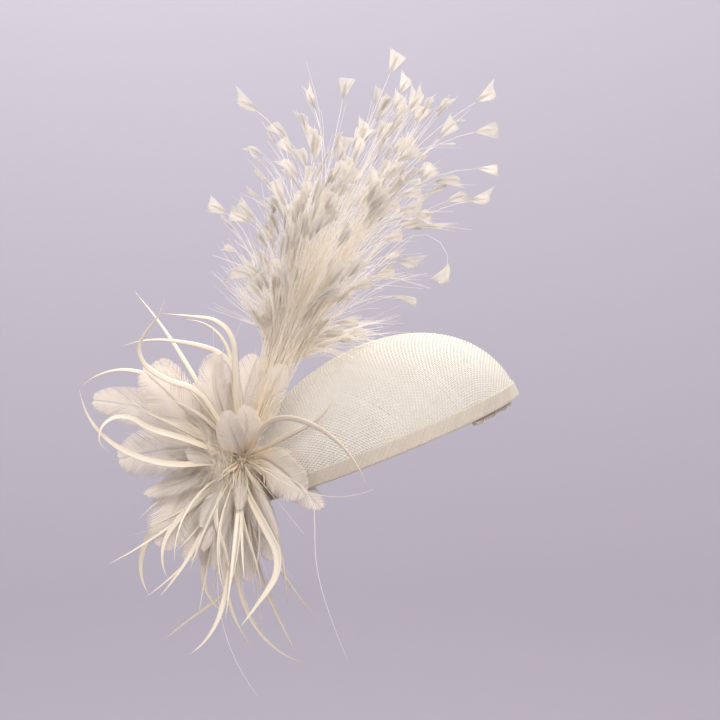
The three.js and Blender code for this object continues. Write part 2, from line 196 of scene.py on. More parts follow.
def thread_material(name, light, shade):
    """Matt thread or straw, each strand a little paler or darker."""
    material, nodes, links, shader = new_material(name, roughness=0.7, sheen=0.15)
    strands = mix_colours(nodes, links, add_attribute(nodes, "strand"), light, shade)
    mix_colours(nodes, links, add_noise(nodes, links, scale=700), strands, light, shader)
    add_bump(nodes, links, add_noise(nodes, links, scale=3000), shader, 0.0001)
    return material


def plain_material(name, light, shade, scale, roughness, bump_scale, distance):
    """A mottled colour with a fine grain. scale and bump_scale are the sizes of the two noises."""
    material, nodes, links, shader = new_material(name, roughness)
    mix_colours(nodes, links, add_noise(nodes, links, scale), light, shade, shader)
    add_bump(nodes, links, add_noise(nodes, links, bump_scale), shader, distance)
    return material


def make_materials():
    return {
        "sinamay": thread_material("sinamay", (0.59, 0.55, 0.49), (0.535, 0.49, 0.43)),
        "lining": thread_material("lining", (0.62, 0.58, 0.51), (0.55, 0.50, 0.425)),
        "binding": thread_material("binding", (0.57, 0.51, 0.43), (0.45, 0.385, 0.30)),
        "ribbon": thread_material("ribbon", (0.84, 0.78, 0.69), (0.76, 0.69, 0.60)),
        "thread": thread_material("thread", (0.82, 0.74, 0.62), (0.68, 0.57, 0.43)),
        "felt": plain_material("felt", (0.80, 0.73, 0.63), (0.72, 0.64, 0.54), 400, 0.95, 2500, 0.0003),
        "wire": plain_material("wire", (0.82, 0.78, 0.71), (0.74, 0.69, 0.62), 300, 0.6, 2000, 0.0001),
        "comb": plain_material("comb", (0.74, 0.70, 0.63), (0.66, 0.61, 0.54), 120, 0.25, 900, 0.00002),
        # The goose's darker colour serves both for barbs that differ at random and as painted shade on feathers
        # laid away from the brim.
        "goose": feather_material("goose", light=(0.975, 0.93, 0.87), shade=(0.74, 0.69, 0.635),
                                  warm=(0.95, 0.87, 0.72), see_through=0.6),
        # The biot's darker honey goes on its bead edge: partly the ridge's own colour, partly painted shade.
        "biot": feather_material("biot", light=(0.83, 0.775, 0.68), shade=(0.66, 0.52, 0.34),
                                 warm=(0.80, 0.66, 0.45), see_through=0.25),
        "hackle": feather_material("hackle", light=(0.985, 0.95, 0.895), shade=(0.60, 0.57, 0.54),
                                   warm=(0.99, 0.915, 0.78), see_through=0.68),
    }


# ---- Meshes from strands ----

def unit(vectors):
    return vectors / np.maximum(np.linalg.norm(vectors, axis=-1, keepdims=True), 1e-12)


def tangents(lines):
    """The direction of travel at each point of lines shaped (..., points, 3)."""
    return unit(np.gradient(lines, axis=-2))


def square_to(along, wish):
    """The part of each wish that is square to its direction of travel."""
    return unit(wish - along * np.sum(along * wish, -1, keepdims=True))


def turned(vectors, axes, angle):
    """The vectors turned about axes square to them."""
    angle = np.asarray(angle)[..., None]
    return vectors * np.cos(angle) + np.cross(axes, vectors) * np.sin(angle)


def strips(lines, across, width, thick):
    """Flat strips: rings of four points along lines shaped (strands, points, 3)."""
    along = tangents(lines)
    across = square_to(along, across)
    out = np.cross(along, across)
    width = np.broadcast_to(np.asarray(width), lines.shape[:-1])[..., None] / 2
    thick = np.broadcast_to(np.asarray(thick), lines.shape[:-1])[..., None] / 2
    corners = [(-1, -1), (1, -1), (1, 1), (-1, 1)]
    return np.stack([lines + across * width * a + out * thick * b for a, b in corners], axis=-2)


def rods(lines, across, radius, sides):
    """Round rods: rings of points along lines shaped (strands, points, 3)."""
    along = tangents(lines)
    across = square_to(along, across)
    out = np.cross(along, across)
    radius = np.broadcast_to(np.asarray(radius), lines.shape[:-1])[..., None]
    turns = 2 * np.pi * np.arange(sides) / sides
    ring = [lines + radius * (across * np.cos(a) + out * np.sin(a)) for a in turns]
    return np.stack(ring, axis=-2)


class Piece:
    """One mesh object, gathered from closed strands."""

    def __init__(self, name):
        self.name = name
        self.points = []
        self.marks = {"strand": [], "root": []}
        self.loops = []
        self.sizes = []
        self.smooth = []
        self.count = 0

    def add(self, rings, strand=0.5, root=0.0):
        """Rings shaped (strands, rings, points, 3). The marks are one number for all, for each
        strand, or for each ring of each strand."""
        strands, length, sides = rings.shape[:3]
        index = self.count + np.arange(strands * length * sides).reshape(strands, length, sides)
        ahead = np.roll(index, -1, axis=2)
        quads = np.stack([index[:, :-1], ahead[:, :-1], ahead[:, 1:], index[:, 1:]], axis=-1)
        caps = np.concatenate([index[:, 0, ::-1], index[:, -1]])
        self.loops += [quads.ravel(), caps.ravel()]
        self.sizes += [np.full(quads.size // 4, 4), np.full(len(caps), sides)]
        # A flat strip's edges and every strand's ends stay crisp.
        soft = np.resize([True, sides > 4], sides)
        self.smooth += [np.tile(soft, quads.size // (4 * sides)), np.zeros(len(caps), bool)]
        self.points.append(rings.reshape(-1, 3))
        for name, value in (("strand", strand), ("root", root)):
            value = np.asarray(value, float)
            value = value.reshape(value.shape + (1,) * (3 - value.ndim))
            self.marks[name].append(np.broadcast_to(value, (strands, length, sides)).ravel())
        self.count += index.size

    def finish(self, slot, body="root", replaces=()):
        """Makes the object, in its slot's material, riding on a body of the frame."""
        mesh = bpy.data.meshes.new(self.name)
        points = np.concatenate(self.points).astype(np.float32)
        loops = np.concatenate(self.loops).astype(np.int32)
        sizes = np.concatenate(self.sizes).astype(np.int32)
        mesh.vertices.add(len(points))
        mesh.vertices.foreach_set("co", points.ravel())
        mesh.loops.add(len(loops))
        mesh.loops.foreach_set("vertex_index", loops)
        mesh.polygons.add(len(sizes))
        mesh.polygons.foreach_set("loop_start", np.cumsum(sizes) - sizes)
        mesh.polygons.foreach_set("use_smooth", np.concatenate(self.smooth))
        mesh.update(calc_edges=True)
        for name, values in self.marks.items():
            attribute = mesh.attributes.new(name, "FLOAT", "POINT")
            attribute.data.foreach_set("value", np.concatenate(values).astype(np.float32))
        mesh.materials.append(materials[slot])
        piece = bpy.data.objects.new(self.name, mesh)
        bpy.context.collection.objects.link(piece)
        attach(piece, body)
        if replaces:
            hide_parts(*replaces)
        return piece


# ---- The dome's surface, read back from the frame ----

def node_points(node):
    """The corners of a CAD node's mesh, in the frame."""
    mesh = frame["nodes"][node].data
    points = np.empty(len(mesh.vertices) * 3)
    mesh.vertices.foreach_get("co", points)
    return points.reshape(-1, 3)


class Dome:
    """The blocked dome: half an ellipsoid over the rim, its crown higher towards one end."""

    def __init__(self):
        under_rim = next(m for m in RECORD["mounts"] if m["name"] == "rim_rest")
        self.up = unit(-np.array(under_rim["axis"]))
        self.across = unit(np.cross([0, 1, 0], self.up))
        self.back = np.cross(self.up, self.across)
        self.basis = np.stack([self.across, self.back, self.up])
        x, y, z = (node_points("sinamay_outer") @ self.basis.T).T
        self.half_length = x.max()
        self.half_width = y.max()
        rise = 1 - (x / self.half_length) ** 2 - (y / self.half_width) ** 2
        high = rise > 0.3
        x, crown = x[high], z[high] / np.sqrt(rise[high])
        outer = crown > np.polyval(np.polyfit(x, crown, 1), x)
        self.crown = np.polyfit(x[outer], crown[outer], 1)
        # How far along a meridian each angle from the crown is, so that cloth isn't stretched.
        self.angles = np.linspace(0, np.pi / 2, 91)
        speed = np.hypot(self.half_length * np.cos(self.angles), self.crown[1] * np.sin(self.angles))
        travelled = np.concatenate([[0], np.cumsum((speed[1:] + speed[:-1]) / 2)])
        self.shares = travelled / travelled[-1]
        self.meridian = travelled[-1] * (self.angles[1] - self.angles[0])

    def to_world(self, local):
        return local @ self.basis

    def at(self, u, v, lift=0.0):
        """Points on the dome for points of a flat disc of radius 1, and the ways out of it there."""
        turn = np.arctan2(v, u)
        angle = np.interp(np.hypot(u, v), self.shares, self.angles)
        x = self.half_length * np.sin(angle) * np.cos(turn)
        y = self.half_width * np.sin(angle) * np.sin(turn)
        crown = np.polyval(self.crown, x)
        z = crown * np.cos(angle)
        out = np.stack([x / self.half_length**2, y / self.half_width**2, z / crown**2], -1)
        out = self.to_world(unit(out))
        return self.to_world(np.stack([x, y, z], -1)) + out * np.asarray(lift)[..., None], out

    def rim(self, turn):
        """Points of the rim line, and the ways out of it in the rim's plane."""
        point = np.stack([self.half_length * np.cos(turn), self.half_width * np.sin(turn), 0 * turn], -1)
        out = np.stack([np.cos(turn) / self.half_length, np.sin(turn) / self.half_width, 0 * turn], -1)
        return self.to_world(point), self.to_world(unit(out))


def wandered(flat):
    """The slow wander of hand-blocked cloth, the same for both sets of threads, gone at the rim."""
    u, v = flat.T
    easing = np.maximum(0, 1 - u**2 - v**2)
    drift = np.stack([np.sin(7 * v + 3 * u), np.sin(6 * u - 4 * v)], -1)
    return flat + 0.02 * easing[:, None] * drift


def weave_threads(piece, dome, lift, turn, first_over, places, crossings, width, thick, rng):
    """Flat straw threads lying one way, each going over and under the threads that cross it."""
    way = np.array([math.cos(turn), math.sin(turn)])
    side = np.array([-way[1], way[0]])
    for i, place in enumerate(places):
        reach = math.sqrt(1 - place**2)
        inside = np.abs(crossings) < reach
        along = np.concatenate([[-reach], crossings[inside], [reach]])
        over = np.where((np.flatnonzero(inside) + i + first_over) % 2, 0.5, -0.5)
        height = np.concatenate([[0], over, [0]]) * thick * 1.1 + lift
        flat = wandered(along[:, None] * way + place * side)
        line, out = dome.at(flat[:, 0], flat[:, 1], height)
        across = np.cross(out, tangents(line))
        wide = width * (1 + rng.normal(0, 0.08))
        piece.add(strips(line[None], across[None], wide, thick), strand=rng.uniform(0, 1))


def weave(slot, node, dome, lift, angle, pitch, width, rng):
    """A plain weave laid flat over the disc and then blocked, as one piece for each set of threads."""
    thick, last = 0.16 * MM, 0.993
    step = pitch / dome.meridian
    evenly = np.arange(-last, last, step)
    warp = evenly + rng.normal(0, 0.05 * step, len(evenly))
    weft = evenly + rng.normal(0, 0.05 * step, len(evenly))
    # The weft lies a quarter turn on, so the warp meets its threads in the opposite order.
    parts = (("warp", 0, len(weft), warp, -weft[::-1]), ("weft", 90, 0, weft, warp))
    for part, quarter, first_over, own, crossings in parts:
        turn = math.radians(angle + quarter)
        piece = Piece(f"{node}_{part}")
        weave_threads(piece, dome, lift, turn, first_over, own, crossings, width, thick, rng)
        piece.finish(slot, replaces=[node])


def add_sinamay(dome, rng):
    """Two layers, the lining laid at another angle so that the threads of both show."""
    weave("sinamay", "sinamay_outer", dome, -0.2 * MM, 40, 1.5 * MM, 1.05 * MM, rng)
    weave("lining", "sinamay_lining", dome, -1.3 * MM, 22, 1.55 * MM, 1.0 * MM, rng)


# ---- The rim ----

def band_rings(dome, section, turns):
    """A closed section of (out, up) offsets from the rim line, as rings round the rim."""
    point, out = dome.rim(turns)
    return np.stack([point + out * o + dome.up * u for o, u in section], axis=1)


def add_ring_piece(piece, rings, strand=0.5):
    """Joins rings all the way round into one closed band."""
    count, sides = rings.shape[:2]
    index = piece.count + np.arange(count * sides).reshape(count, sides)
    ahead = np.roll(index, -1, axis=1)
    after = np.roll(index, -1, axis=0)
    quads = np.stack([index, after, np.roll(after, -1, axis=1), ahead], axis=-1)
    piece.loops.append(quads.ravel())
    piece.sizes.append(np.full(quads.size // 4, 4))
    piece.smooth.append(np.ones(quads.size // 4, bool))
    piece.points.append(rings.reshape(-1, 3))
    piece.marks["strand"].append(np.broadcast_to(np.asarray(strand, float), index.shape).ravel())
    piece.marks["root"].append(np.zeros(index.size))
    piece.count += index.size


def rounded(path, bulge, steps):
    """The path of straight runs with its corners rounded off, as many points."""
    path = np.array(path)
    fine = []
    for before, corner, after in zip(path, path[1:], path[2:]):
        start = corner + unit(before - corner) * bulge
        end = corner + unit(after - corner) * bulge
        for t in np.linspace(0, 1, steps):
            fine.append(start * (1 - t) ** 2 + corner * 2 * t * (1 - t) + end * t**2)
    return np.array([path[0], *fine, path[-1]])


def even(path, count):
    """The same path with its points evenly spaced."""
    lengths = np.concatenate([[0], np.cumsum(np.linalg.norm(np.diff(path, axis=0), axis=1))])
    at = np.linspace(0, lengths[-1], count)
    return np.stack([np.interp(at, lengths, path[:, k]) for k in range(path.shape[1])], -1), lengths[-1]


def add_binding(dome, rng):
    """A folded bias strip: a stiff core, with the cloth's threads slanting over it. The sections
    are (out, up) in millimetres from the rim line."""
    top, bottom = 6.1, -2.75
    outside = [(0.55, top), (1.0, bottom), (-2.55, bottom), (-2.85, top)]
    core = [(0.35, top - 0.2), (0.75, bottom + 0.25), (-2.3, bottom + 0.25), (-2.6, top - 0.2)]
    inner = [(-2.3, top - 0.2), (-2.05, bottom + 0.7), (0.3, bottom + 0.7), (0.0, top - 0.2)]
    piece = Piece("rim_binding_cloth")
    section = np.concatenate([rounded(core, 0.5, 4), rounded(inner, 0.3, 3)]) * MM
    turns = np.linspace(0, 2 * np.pi, 240, endpoint=False)
    add_ring_piece(piece, band_rings(dome, section, turns), strand=0.8)
    path, length = even(rounded(outside, 0.6, 5) * MM, 26)
    for lean in (1, -1):
        add_slanting_threads(piece, dome, path, length, lean, rng)
    piece.finish("binding", replaces=["rim_binding"])


def add_slanting_threads(piece, dome, path, length, lean, rng):
    """Threads all round the rim over a path of (out, up) offsets, slanting to one side or the other."""
    pitch, width, thick, layer = 1.25 * MM, 0.62 * MM, 0.16 * MM, 0.09 * MM
    round_rim = np.pi * (dome.half_length + dome.half_width)
    threads = int(round_rim / pitch)
    starts = 2 * np.pi * (np.arange(threads) + rng.uniform(-0.12, 0.12, threads)) / threads
    sweep = lean * np.linspace(0, length, len(path)) * 2 * np.pi / round_rim
    point, out = dome.rim(starts[:, None] + sweep[None, :])
    spread = unit(np.stack([-np.gradient(path[:, 1]), np.gradient(path[:, 0])], -1))
    outwards = 1 if np.sum(spread[0]) < 0 else -1
    section = path + spread * (outwards * layer * (1 + lean))
    lines = point + out * section[:, 0, None] + dome.up * section[:, 1, None]
    around = np.cross(np.broadcast_to(dome.up, out.shape), out)
    piece.add(strips(lines, around, width, thick), strand=rng.uniform(0, 1, threads))


def add_head_ribbon(dome):
    """Grosgrain: a flat ribbon with fine ribs across it, easing in with the wall of the dome. The
    face and back are (out, up) in millimetres from the rim line."""
    ribs, per_rib, rib_height = 470, 4, 0.16
    turns = np.linspace(0, 2 * np.pi, ribs * per_rib, endpoint=False)
    ridge = 0.5 + 0.5 * np.cos(np.linspace(0, 2 * np.pi * ribs, ribs * per_rib, endpoint=False))
    face = [(-3.75, -1.35), (-3.75, 6.1), (-6.4, 13.2), (-8.95, 19.8)]
    back = [(-9.2, 19.8), (-6.75, 13.2), (-4.1, 6.1), (-4.1, -1.35)]
    point, out = dome.rim(turns)
    rings = []
    for o, u in face:
        rings.append(point + out * (o * MM) + dome.up * (u * MM))
    for o, u in back:
        rings.append(point + out * ((o - rib_height * ridge[:, None]) * MM) + dome.up * (u * MM))
    piece = Piece("head_ribbon_grosgrain")
    # The valleys between the ribs are painted darker than their crests: painted shade in the grooves.
    add_ring_piece(piece, np.stack(rings, axis=1), strand=1 - 0.8 * ridge[:, None])
    piece.finish("ribbon", replaces=["head_ribbon"])


# ---- Feathers ----

def grown_line(start, length, headings, leans, steps=96):
    """A feather's line, as the CAD grows it: headings and leans at even stations, in degrees."""
    t = (np.arange(steps) + 0.5) / steps
    heading = np.radians(np.interp(t, np.linspace(0, 1, len(headings)), headings))
    lean = np.radians(np.interp(t, np.linspace(0, 1, len(leans)), leans))
    way = np.stack([np.cos(lean) * np.cos(heading), -np.sin(lean), np.cos(lean) * np.sin(heading)], -1)
    return start + np.concatenate([np.zeros((1, 3)), np.cumsum(way * length / steps, axis=0)])


def smooth(values, at):
    """A smooth curve through evenly spaced values, read at shares from 0 to 1."""
    values = np.asarray(values, float)
    slopes = np.gradient(values, axis=0)
    place = np.clip(at, 0, 1) * (len(values) - 1)
    i = np.minimum(place.astype(int), len(values) - 2)
    t = (place - i).reshape(place.shape + (1,) * (values.ndim - 1))
    a, b, p, q = values[i], values[i + 1], slopes[i], slopes[i + 1]
    blend = 3 * t**2 - 2 * t**3
    return a + (b - a) * blend + p * (t - 2 * t**2 + t**3) + q * (t**3 - t**2)


def rings_of(node, root_end, sides):
    """The rings of a CAD feather in order from its root, walked along its mesh."""
    mesh = frame["nodes"][node].data
    points, name = np.unique(np.round(node_points(node), 7), axis=0, return_inverse=True)
    name = name.reshape(-1)
    joined = [set() for _ in points]
    for face in mesh.polygons:
        corners = name[list(face.vertices)]
        for a in corners:
            joined[a].update(corners)
    first = np.argmin(np.linalg.norm(points - root_end, axis=1))
    ring = set(np.argsort(np.linalg.norm(points - points[first], axis=1))[:sides])
    seen, rings = set(ring), []
    while ring:
        rings.append(points[sorted(ring)])
        ring = set().union(*(joined[i] for i in ring)) - seen
        seen |= ring
    return rings


class Spine:
    """A feather's quill: its line, the way its vane lies to each side, and its width."""

    def __init__(self, line, side, width=None):
        self.line = line
        self.along = tangents(line)
        self.side = square_to(self.along, side)
        self.face = np.cross(self.along, self.side)
        self.width = width
        self.length = np.linalg.norm(np.diff(line, axis=0), axis=1).sum()

    def at(self, share, across, out):
        """Points at a share of the length, carried straight on past the tip, then off the quill."""
        beyond = np.maximum(share - 1, 0)[..., None] * self.length
        point = smooth(self.line, share) + self.along[-1] * beyond
        side, face = unit(smooth(self.side, share)), unit(smooth(self.face, share))
        return point + side * across[..., None] + face * out[..., None]


def quill_of_ring(ring, way):
    """In a petal's ring: the middle of its two points on the quill, and which way its edges curl."""
    near = np.argsort(np.abs((ring - ring.mean(0)) @ way))[:2]
    middle = ring[near].mean(0)
    return middle, np.delete(ring, near, 0).mean(0) - middle


def spine_of(node, root_end, sides):
    """The quill of a CAD feather. A petal's rings have six points, two of them on the quill."""
    rings = rings_of(node, root_end, sides)
    middles, ways, widths = [], [], []
    for ring in rings:
        middle = ring.mean(0)
        spread = np.linalg.svd(ring - middle)
        way = spread[2][0]
        if ways and spread[1][0] < 1.2 * spread[1][1]:
            way = ways[-1]
        if ways and way @ ways[-1] < 0:
            way = -way
        ways.append(way)
        widths.append(np.ptp((ring - middle) @ way))
        if sides == 6:
            middle, _ = quill_of_ring(ring, way)
        middles.append(middle)
    line, ways = np.array(middles), np.array(ways)
    if sides == 6:
        wide = len(rings) // 2
        _, cup = quill_of_ring(rings[wide], ways[wide])
        if np.cross(tangents(line)[wide], ways[wide]) @ cup < 0:
            ways = -ways
    at = np.linspace(0, 1, 4 * len(line))
    return Spine(smooth(line, at), smooth(ways, at), smooth(np.array(widths), at))


def add_quill(piece, spine):
    """The quill itself, with its bare root carried back into the bundle."""
    root_radius, tip_radius, reach_back = 0.26 * MM, 0.08 * MM, 6 * MM
    at = np.linspace(0, 1, 28)
    line = smooth(spine.line, at)
    line = np.concatenate([line[:1] - spine.along[0] * reach_back, line])
    side = np.concatenate([spine.side[:1], smooth(spine.side, at)])
    shares = np.concatenate([[0], at])
    radius = root_radius + (tip_radius - root_radius) * shares
    root = 0.3 * np.maximum(0, 1 - shares * 2.2)
    piece.add(rods(line[None], side[None], radius[None], 6), strand=0.0, root=root[None])


def barb_lines(spine, hand, root, end, reach, parting, curl):
    """Barbs from beside the quill to the vane's outline, running forward as they go out."""
    out = np.linspace(0, 1, 6)[None, :]
    clear = 0.2 * MM
    across = clear + np.maximum(reach[:, None] - clear, 0) * out
    share = root[:, None] + (end - root)[:, None] * out**1.2 + parting[:, None] * out
    return share, spine.at(share, hand * across, curl[:, None] * across * out)


def add_vane(piece, spine, rng, half, barbs, ragged):
    """Barbs down both sides of a quill, each ending on the feather's rounded outline. half is how
    far the vane stands out on each side, in metres."""
    first, last, sweep, cup = 0.04, 0.985, 0.25, 0.2
    thick, finest, taper = 0.08 * MM, 0.12 * MM, 0.62
    # Painted light: feathers laid towards the brim, on the lit side, are painted the whitest of the flower, and
    # those laid away from it darker, as painted shade.
    painted_side_shade = 0.4 - 0.4 * spine.along[len(spine.along) // 2][0]
    out = np.linspace(0, 1, 6)[None, :]
    none = np.zeros(barbs)
    for hand in (1, -1):
        root = np.linspace(first, last, barbs)
        end = root + sweep * (1 - root**2.5) + 0.012
        # The outline opens out from the root and closes on the rounded end.
        opening = np.clip((end - 0.08) / 0.32, 0, 1) ** 0.75
        closing = (1 - np.clip((end - 0.56) / 0.45, 0, 0.995) ** 2.2) ** (1 / 2.2)
        reach = half * opening * closing
        _, lines = barb_lines(spine, hand, root, end, reach, none, none + cup)
        gap, along = np.gradient(lines, axis=0), tangents(lines)
        gap = np.linalg.norm(gap - along * np.sum(gap * along, -1, keepdims=True), axis=-1)
        # Barbs cling together in locks, and part where two locks meet.
        locks = np.cumsum(rng.random(barbs) < 0.08)
        parting = rng.normal(0, 0.008 * ragged, locks.max() + 1)[locks]
        flare = rng.normal(0, 0.05 * ragged, locks.max() + 1)[locks]
        parting = parting + rng.normal(0, 0.002 * ragged, barbs)
        reach = reach * (1 + rng.normal(0, 0.02 * ragged, barbs))
        share, lines = barb_lines(spine, hand, root, end, reach, parting, cup + flare)
        sideways = np.cross(unit(smooth(spine.face, share)), tangents(lines))
        width = np.maximum(1.15 * gap, finest) * (1 - taper * out**4 - 0.35 * (1 - out) ** 4)
        warmth = 0.9 * np.clip(1 - root * 3, 0, 1)
        # Each barb's darkness: the feather's painted side shade, plus a tone that differs at random.
        shade = painted_side_shade + rng.uniform(0, 0.2, barbs)
        piece.add(strips(lines, sideways, width, thick), shade, warmth)


def goose_feather(name, spine, rng, barbs=110, ragged=1.0, width=None, replaces=()):
    """A broad goose feather: a pale quill, and a vane with a rounded, slightly ragged end."""
    half = (width if width is not None else 1.2 * spine.width.max()) / 2
    piece = Piece(name)
    add_quill(piece, spine)
    add_vane(piece, spine, rng, half, barbs, ragged)
    return piece.finish("goose", replaces=replaces)


def biot(name, spine, width=None, replaces=()):
    """A curled biot: a stiff ridge down one edge, a thin satin blade, and a long fine point."""
    widest = 0.74 * (width if width is not None else spine.width.max())
    at = np.linspace(0, 1, 44)
    line, side = smooth(spine.line, at), unit(smooth(spine.side, at))
    along = tangents(line)
    side = square_to(along, side)
    face = np.cross(along, side)
    width_at = widest * np.sin(np.pi * at**0.75) ** 0.9
    width_at = np.maximum(width_at, np.where(at < 0.3, 0.9, 0.22) * MM)
    ridge = np.minimum(0.42 * MM, width_at * 0.4)
    # (across, out) in shares of the width and of the ridge: a bead at the edge, then a curved blade.
    section = [(-0.5, 0.0), (-0.46, -0.7), (-0.36, -0.55), (-0.05, -0.10), (0.25, 0.05), (0.5, 0.42),
               (0.25, 0.32), (-0.05, 0.18), (-0.36, 0.6), (-0.46, 0.7)]
    rings = []
    for across, out in section:
        curl = 0.14 * width_at * (2 * across) ** 2
        off = side * (across * width_at)[:, None] + face * (out * ridge + curl)[:, None]
        rings.append(line + off)
    piece = Piece(name)
    # The bead at the edge is painted a darker honey and the thin blade paler: partly the ridge's own colour,
    # partly painted shade on the curl.
    shade = np.array([1, 0.9, 0.7, 0.25, 0.1, 0.0, 0.1, 0.25, 0.7, 0.9])
    strand = np.broadcast_to(shade, (1, len(at), len(section)))
    warm = 0.75 * np.clip(1 - at * 2.4, 0, 1)
    piece.add(np.stack(rings, axis=1)[None], strand, warm[None])
    back = np.stack([line[0] - along[0] * 7 * MM, line[0], line[1]])
    across = square_to(tangents(line[:3]), side[:3])
    piece.add(rods(back[None], across[None], 0.45 * MM, 6), 0.6, 0.8)
    return piece.finish("biot", replaces=replaces)


def add_hackle(piece, spine, rng, tip, width, wisps=0, warm=0.6, radius=0.3 * MM):
    """A stripped quill with an arrowhead left at its end, cut straight or on the slant. tip and
    width are the arrowhead's, and a tip of 0 leaves the quill bare."""
    at = np.linspace(0, 1, 18)
    line, side = smooth(spine.line, at), smooth(spine.side, at)
    root = warm * np.clip(1 - at * 1.5, 0, 1)
    strand = np.full(at.shape, rng.uniform(0.0, 0.12))
    piece.add(rods(line[None], side[None], (radius * (1 - 0.65 * at))[None], 5), strand[None], root[None])
    if wisps:
        add_wisps(piece, spine, rng, wisps, warm)
    if tip:
        add_arrowhead(piece, spine, rng, tip, width)


def add_arrowhead(piece, spine, rng, tip, width):
    """Thin barbs fanning forward from the quill's end, all cut off along one line."""
    barbs = 15
    slope = (width / 2) / tip
    cut = rng.normal(0, 0.2)
    cup = rng.uniform(-0.1, 0.25)
    out = np.linspace(0, 1, 4)[None, :]
    for hand in (1, -1):
        start = 1 - tip / spine.length * np.linspace(1, 0.03, barbs)
        left = (1 - start) * spine.length
        left = left * (1 + hand * cut * left / tip + rng.normal(0, 0.03, barbs))
        forward = left[:, None] * out
        across = forward * slope * (1.15 - 0.15 * out)
        lift = cup * across * out + rng.normal(0, 0.015, (barbs, 1)) * forward
        share = start[:, None] + forward / spine.length
        lines = spine.at(share, hand * across, lift)
        sideways = np.cross(unit(smooth(spine.face, share)), tangents(lines))
        spacing = tip / barbs * math.sin(math.atan(slope))
        width_at = (spacing + 0.04 * MM) * np.linspace(1.15, 0.55, 4)[None, :]
        piece.add(strips(lines, sideways, width_at, 0.06 * MM), rng.uniform(0.6, 1, barbs))


def add_wisps(piece, spine, rng, count, warm):
    """Fine strands of down left on a quill, sweeping forward along it."""
    out = np.linspace(0, 1, 5)[None, :]
    start = rng.uniform(0.16, 0.88, count)
    length = rng.uniform(14, 42, count) * MM
    spread = rng.uniform(0.03, 0.22, count)
    turn = rng.uniform(0, 2 * np.pi, count)
    away = (length * spread)[:, None] * out**0.9
    share = start[:, None] + (length / spine.length)[:, None] * out
    lines = spine.at(share, away * np.cos(turn)[:, None], away * np.sin(turn)[:, None])
    sideways = np.cross(unit(smooth(spine.face, share)), tangents(lines))
    width = rng.uniform(0.12, 0.28, (count, 1)) * MM * (1 - 0.6 * out)
    root = warm * np.clip(1 - 1.5 * share, 0, 1)
    piece.add(strips(lines, sideways, width, 0.08 * MM), rng.uniform(0, 0.12, count), root)


def hackle(name, spine, rng, tip, width, replaces=()):
    """One hackle as a piece of its own."""
    piece = Piece(name)
    add_hackle(piece, spine, rng, tip, width)
    return piece.finish("hackle", replaces=replaces)


# ---- The flower ----

def hub_place():
    """The middle of the knot that the flower's feathers spring from."""
    low, high = (np.array(c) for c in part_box("flower_stem"))
    pad_low, pad_high = (np.array(c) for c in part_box("flower_pad"))
    middle, pad = (low + high) / 2, (pad_low + pad_high) / 2
    return middle + unit(middle - pad) * 4 * MM


# Feathers that only dress the flower: name, length in mm, headings, leans, width in mm
EXTRA_PETALS = [
    ("petal_low_middle", 66, (-118, -108, -108, -110), (8, -2), 18),
    ("petal_low_back_left", 70, (-128, -118, -112), (-6, -10), 19),
    ("petal_low_back_right", 74, (-92, -88, -84), (-10, -6), 18),
    ("petal_low_right", 62, (-70, -72, -78), (10, 4), 17),
    ("petal_low_front", 60, (-108, -112, -120), (30, 14), 9),
    ("petal_low_white", 34, (-84, -92, -98), (46, 22), 9),
    ("petal_back_top", 66, (112, 106, 100), (-10, -20), 22),
    ("petal_back_left", 70, (-172, 178, 174), (-6, -14), 24),
    ("petal_back_low_left", 66, (-150, -140, -130), (-10, -14), 22),
    ("petal_by_plume", 62, (72, 66, 62), (-4, -8), 18),
    ("petal_front_right", 58, (-14, -30, -44), (30, 4), 17),
    ("petal_white_right", 45, (4, -12, -28), (34, 2), 20),
    ("petal_front_left", 40, (162, 170, 180), (50, 26), 17),
]
EXTRA_BIOTS = [
    ("biot_low_short", 115, (-102, -104, -80, -50), (6, 4), 7),
    ("biot_cream_thin", 79, (-104, -82, -68, -78), (24, 12), 4),
    ("biot_low_centre", 78, (-144, -110, -66, -80), (34, 10), 6),
]


def grown_spine(start, length, headings, leans, roll, keep_from=0.0):
    """A quill of a length in mm, its vane rolled from facing the front, without its first share."""
    line = grown_line(start, length * MM, headings, leans)
    line = smooth(line, np.linspace(keep_from, 1, 33))
    along = tangents(line)
    side = square_to(along, np.cross(along, FRONT))
    return Spine(line, turned(side, along, np.full(len(line), math.radians(roll))))


def add_flower(rng):
    """Every feather that springs from the hub: the CAD's own first, then those that fill it out."""
    hub = hub_place()
    for node in sorted(frame["nodes"]):
        if node.startswith("petal_"):
            goose_feather(node + "_feather", spine_of(node, hub, 6), rng, replaces=[node])
        elif node.startswith("biot_"):
            biot(node + "_feather", spine_of(node, hub, 4), replaces=[node])
        elif node.startswith("quill_"):
            spine = spine_of(node, hub, 4)
            hackle(node + "_feather", spine, rng, 0, 0, replaces=[node])
    for name, length, headings, leans, width in EXTRA_PETALS:
        spine = grown_spine(hub, length, headings, leans, rng.uniform(-20, 20), 0.1)
        goose_feather(name + "_feather", spine, rng, width=width * MM)
    for name, length, headings, leans, width in EXTRA_BIOTS:
        spine = grown_spine(hub, length, headings, leans, 30, 0.08)
        biot(name + "_feather", spine, width=width * MM)
    add_thin_biots(hub, rng)
    add_between(hub, rng)
    quill = Piece("quill_brim_feather")
    spine = grown_spine(hub, 97, (-14, -30, -10, 24), (58, 0), 0, 0.1)
    add_hackle(quill, spine, rng, 0, 0)
    quill.finish("hackle")
    add_centre(hub, rng)


